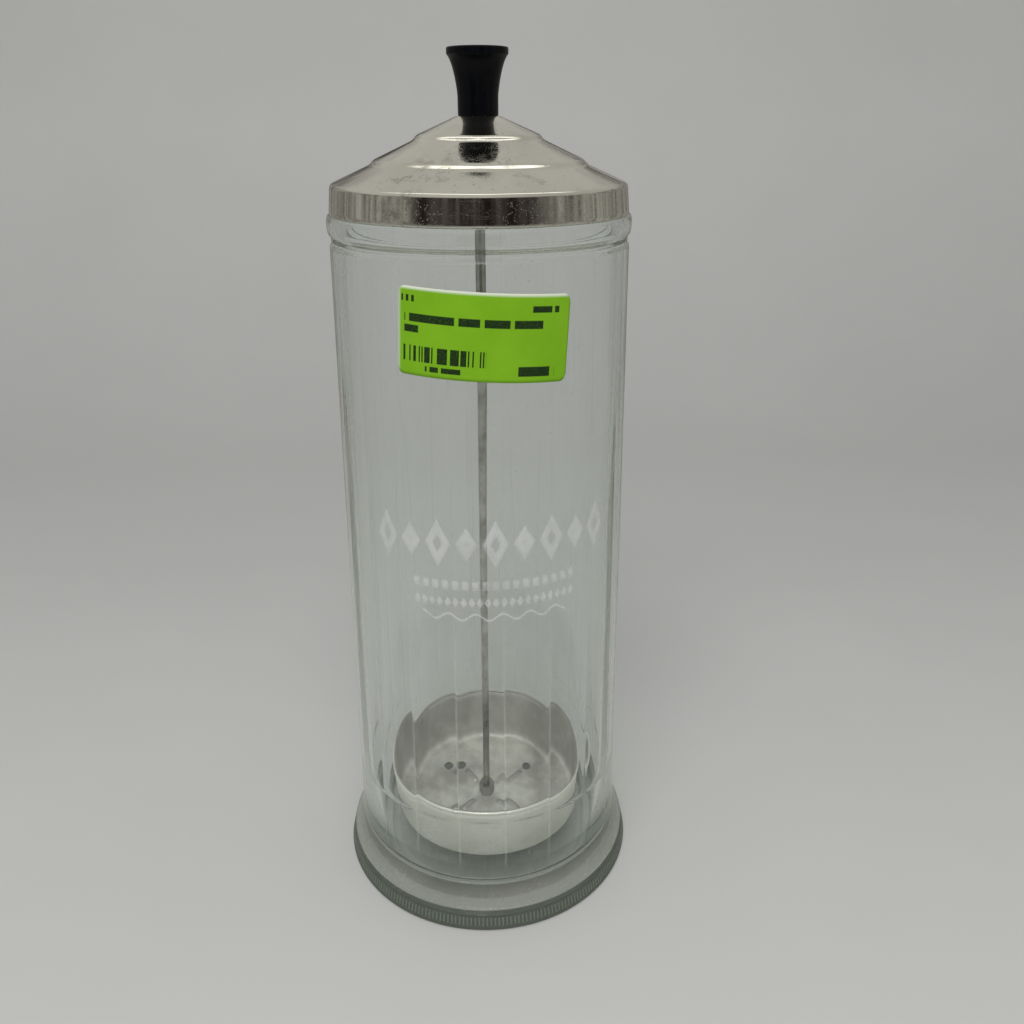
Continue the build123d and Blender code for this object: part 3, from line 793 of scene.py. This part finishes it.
def makeTray():
    # The pan is one sheet: floor height = low + ribs + slight dents, carried up round the corner and
    # the wall. A rib is a ridge cos^2 across its width that fades at both ends. A drain hole drops the
    # faces inside its circle and moves the points left on its edge out to that circle.
    t = tray
    floorRows = np.concatenate([[t["holeRadius"]], np.arange(2.2, t["footRadius"] - t["corner"], 0.5)])
    wall = roundedPath([(floorRows[-1] + 0.3, t["low"]), (t["footRadius"], t["low"]),
                        (t["rimRadius"], t["wallHigh"])], [t["corner"]], 10)
    wall = spacedPath(wall[1:], 3.0)
    r = np.concatenate([floorRows, wall[:, 0]])
    z = np.concatenate([np.full(len(floorRows), t["low"]), wall[:, 1]])
    angles = evenAngles(t["columns"])
    verts = turnedGrid(r, z, angles)
    x, y = verts[..., 0], verts[..., 1]
    flat = np.clip((t["footRadius"] - t["corner"] - r) / 3.0, 0, 1)[:, None]
    dents = (np.sin(x * 0.51 + 1.3) * np.sin(y * 0.43 + 0.4) + 0.6 * np.sin(x * 0.97 - y * 0.61)
             + 0.5 * np.sin(x * 0.33 + y * 1.13 + 2.0))
    rise = 0.06 * dents * flat
    holes = []
    for i in range(t["ribs"]):
        a = math.radians(t["firstRib"] + 360 / t["ribs"] * i)
        along = x * math.cos(a) + y * math.sin(a)
        aside = -x * math.sin(a) + y * math.cos(a)
        ridge = np.cos(np.clip(aside / t["ribHalf"], -1, 1) * math.pi / 2) ** 2
        length = (np.clip((along - t["ribStart"]) / 1.5, 0, 1)
                  * np.clip((t["ribEnd"] - along) / 1.5, 0, 1))
        rise = rise + t["ribRise"] * ridge * length
        holes.append((t["drainCircle"] * math.cos(a), t["drainCircle"] * math.sin(a)))
    verts[..., 2] += rise
    verts = verts.reshape(-1, 3)
    quads = gridFaces(len(r), t["columns"])
    keep = np.ones(len(quads), dtype=bool)
    for hole in holes:
        away = verts[:, :2] - hole
        distance = np.linalg.norm(away, axis=1)
        inside = (distance < t["drainRadius"]) & (verts[:, 2] < t["low"] + 2)
        keep &= ~inside[quads].all(axis=1)
        outwards = away[inside] / np.maximum(distance[inside, None], 1e-6)
        verts[inside, :2] = hole + outwards * t["drainRadius"]
    quads = quads[keep]
    used = np.unique(quads)
    index = np.full(len(verts), -1)
    index[used] = np.arange(len(used))
    material = trayMaterial()
    pan = makeObject("trayPan", verts[used], index[quads][:, ::-1], material, "lift")
    sheet = pan.modifiers.new("sheet", "SOLIDIFY")
    sheet.thickness = t["sheet"] * mm
    sheet.offset = 1.0
    sheet.use_even_offset = True
    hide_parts("tray")
    turn = evenAngles(16)
    rollPath = np.stack([t["rimRadius"] - t["sheet"] / 2 + t["roll"] * np.cos(turn),
                         t["wallHigh"] + 0.3 + t["roll"] * np.sin(turn)], axis=1)
    roll = turnedPiece("trayRim", rollPath, material, "lift", evenAngles(200), closedLoop=True)
    print("tray pressed:", len(quads), "faces")


makeTray()


def finishNode(node, material):
    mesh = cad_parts[node].data
    mesh.materials.clear()
    mesh.materials.append(material)


nutSteel = steelMaterial("nutSteel", (0.24, 0.235, 0.22), (0.5, 0.49, 0.47), (0.28, 0.45), 0.3)
for node in ("hub_nut", "under_nut", "under_washer"):
    finishNode(node, nutSteel)
insertBrass = steelMaterial("insertBrass", (0.42, 0.28, 0.09), (0.72, 0.52, 0.2), (0.25, 0.4), 0.1)
finishNode("knob_insert", insertBrass)


def bushMaterial():
    material, tree, shader = newMaterial("bushNylon", (0.78, 0.78, 0.75), 0.45)
    grain = useGroup(tree, mottle, **{"Patch Scale": 200.0, "Grain Scale": 2000.0})
    tree.links.new(mixColour(tree, grain["Cloud"], (0.82, 0.82, 0.80, 1), (0.70, 0.69, 0.64, 1)),
                   shader.inputs["Base Color"])
    tree.links.new(rangeNode(tree, grain["Grain"], 0.3, 0.7, 0.38, 0.55), shader.inputs["Roughness"])
    return material


finishNode("guide_bush", bushMaterial())


studio = {
    "camera": (0.0, -0.2858, 0.2622), "pitch": 23.70, "yaw": 1.92, "roll": -0.089, "lens": 31.9,
    "sweepStart": 0.42, "sweepRadius": 0.35, "sweepHigh": 0.9, "sweepWide": 2.2, "floorFront": -1.6,
    "lampPlace": (-0.1, -0.6, 1.1), "lampTarget": (0, 0, 0.1), "lampSize": 0.7, "lampPower": 7.2,
    "lampColour": (1.0, 0.995, 0.98), "roomLight": (0.397, 0.397, 0.391, 1),
}


def makeFloor():
    # A strip of paper: flat floor, a quarter circle, then a wall, the same right across its width. It
    # is painted a little paler at the front and up the wall: painted light that evens out the lamp's
    # fall-off.
    s = studio
    bend = np.linspace(0, math.pi / 2, 24)
    y = np.concatenate([[s["floorFront"], -0.5, 0.0], s["sweepStart"] + s["sweepRadius"] * np.sin(bend),
                        [s["sweepStart"] + s["sweepRadius"]]])
    z = np.concatenate([[0, 0, 0], s["sweepRadius"] * (1 - np.cos(bend)), [s["sweepHigh"]]])
    x = np.array([-s["sweepWide"], s["sweepWide"]])
    verts = np.stack([np.repeat(x[None], len(y), 0), np.repeat(y[:, None], 2, 1),
                      np.repeat(z[:, None], 2, 1)], axis=-1)
    mesh = bpy.data.meshes.new("paperSweep")
    mesh.from_pydata(verts.reshape(-1, 3).tolist(), [], gridFaces(len(y), 2, wrapCols=False).tolist())
    mesh.polygons.foreach_set("use_smooth", np.ones(len(mesh.polygons), dtype=bool))
    material, tree, shader = newMaterial("paleFloor", (0.62, 0.62, 0.61), 0.85)
    shader.inputs["Specular IOR Level"].default_value = 0.2
    cloud = useGroup(tree, mottle, **{"Patch Scale": 6.0, "Grain Scale": 800.0})
    place = addNode(tree, "ShaderNodeSeparateXYZ", {"Vector": objectCoords(tree)}).outputs
    # Paler towards the front and up the wall: painted light. The cloud adds real mottle.
    paintedLightAndMottle = plus(tree, rangeNode(tree, place[1], -0.2, 0.25, 1.1, 0.0),
                rangeNode(tree, place[2], 0.0, 0.25, 0.0, 0.9))
    paintedLightAndMottle = plus(tree, paintedLightAndMottle, rangeNode(tree, cloud["Cloud"], 0.3, 0.7, -0.12, 0.12), clamp=True)
    tree.links.new(mixColour(tree, paintedLightAndMottle, (0.57, 0.572, 0.565, 1), (0.67, 0.668, 0.66, 1)),
                   shader.inputs["Base Color"])
    mesh.materials.append(material)
    floor = bpy.data.objects.new("paperSweep", mesh)
    bpy.context.scene.collection.objects.link(floor)
    floor.visible_glossy = False


def addLamp():
    s = studio
    light = bpy.data.lights.new("ceiling", "AREA")
    light.shape, light.size = "DISK", s["lampSize"]
    light.energy, light.color = s["lampPower"], s["lampColour"]
    lamp = bpy.data.objects.new("ceiling", light)
    lamp.location = s["lampPlace"]
    way = Vector(s["lampTarget"]) - Vector(s["lampPlace"])
    lamp.rotation_euler = way.to_track_quat("-Z", "Y").to_euler()
    lamp.visible_glossy = False
    bpy.context.scene.collection.objects.link(lamp)


def makeWorld():
    # An even pale room lights the scene. Shiny things mirror a picture of it instead: a pale ceiling
    # and floor, greyer walls at eye level, a dark streaky zone towards the front, and a bright strip
    # high overhead where lean = y - 0.6 |x| is about -0.24 to -0.02.
    world = bpy.data.worlds.new("room")
    world.use_nodes = True
    tree = world.node_tree
    way = addNode(tree, "ShaderNodeTexCoord").outputs["Generated"]
    x, y, z = addNode(tree, "ShaderNodeSeparateXYZ", {"Vector": way}).outputs
    upright = addNode(tree, "ShaderNodeMapping", {"Vector": way, "Scale": (1.0, 1.0, 0.05)}).outputs[0]
    coarse, fine = noiseNode(tree, upright, 5.0, 6.0, 0.75), noiseNode(tree, upright, 24.0, 4.0, 0.65)
    level = times(tree, rangeNode(tree, z, 0.45, 0.2), rangeNode(tree, z, -0.5, -0.25))
    walls = mixColour(tree, rangeNode(tree, fine, 0.40, 0.58), (0.07, 0.066, 0.06, 1),
                      (0.33, 0.32, 0.29, 1))
    front = rangeNode(tree, plus(tree, y, times(tree, minus(tree, coarse, 0.5), 0.9)), -0.50, -0.78)
    darks = mixColour(tree, rangeNode(tree, coarse, 0.46, 0.66), (0.012, 0.008, 0.008, 1),
                      (0.12, 0.105, 0.095, 1))
    walls = mixColour(tree, front, walls, darks)
    mirror = mixColour(tree, rangeNode(tree, z, -0.1, 0.1), (0.40, 0.40, 0.38, 1), (0.45, 0.445, 0.41, 1))
    mirror = mixColour(tree, rangeNode(tree, x, 0.1, 0.6, 0.0, 0.6), mirror, (0.33, 0.325, 0.295, 1))
    mirror = mixColour(tree, level, mirror, walls)
    lean = minus(tree, y, times(tree, absolute(tree, x), 0.6))
    glow = times(tree, rangeNode(tree, lean, 0.02, -0.06), rangeNode(tree, lean, -0.27, -0.2))
    glow = times(tree, glow, rangeNode(tree, z, 0.72, 0.86))
    mirror = mixColour(tree, glow, mirror, (1.5, 1.48, 1.38, 1))
    paths = addNode(tree, "ShaderNodeLightPath").outputs
    mirrored = minus(tree, paths["Is Glossy Ray"], paths["Is Transmission Ray"], clamp=True)
    tree.links.new(mixColour(tree, mirrored, studio["roomLight"], mirror),
                   tree.nodes["Background"].inputs["Color"])
    bpy.context.scene.world = world


def makeCamera():
    s = studio
    data = bpy.data.cameras.new("camera")
    data.lens, data.sensor_width, data.clip_start, data.clip_end = s["lens"], 36.0, 0.01, 20.0
    camera = bpy.data.objects.new("camera", data)
    turn = (Matrix.Rotation(-math.radians(s["yaw"]), 4, "Z")
            @ Matrix.Rotation(math.radians(90 - s["pitch"]), 4, "X")
            @ Matrix.Rotation(math.radians(s["roll"]), 4, "Z"))
    camera.matrix_world = Matrix.Translation(s["camera"]) @ turn
    bpy.context.scene.collection.objects.link(camera)
    bpy.context.scene.camera = camera


makeFloor()
makeWorld()
addLamp()
makeCamera()
bpy.context.scene.view_settings.view_transform = "Standard"
print("studio ready")
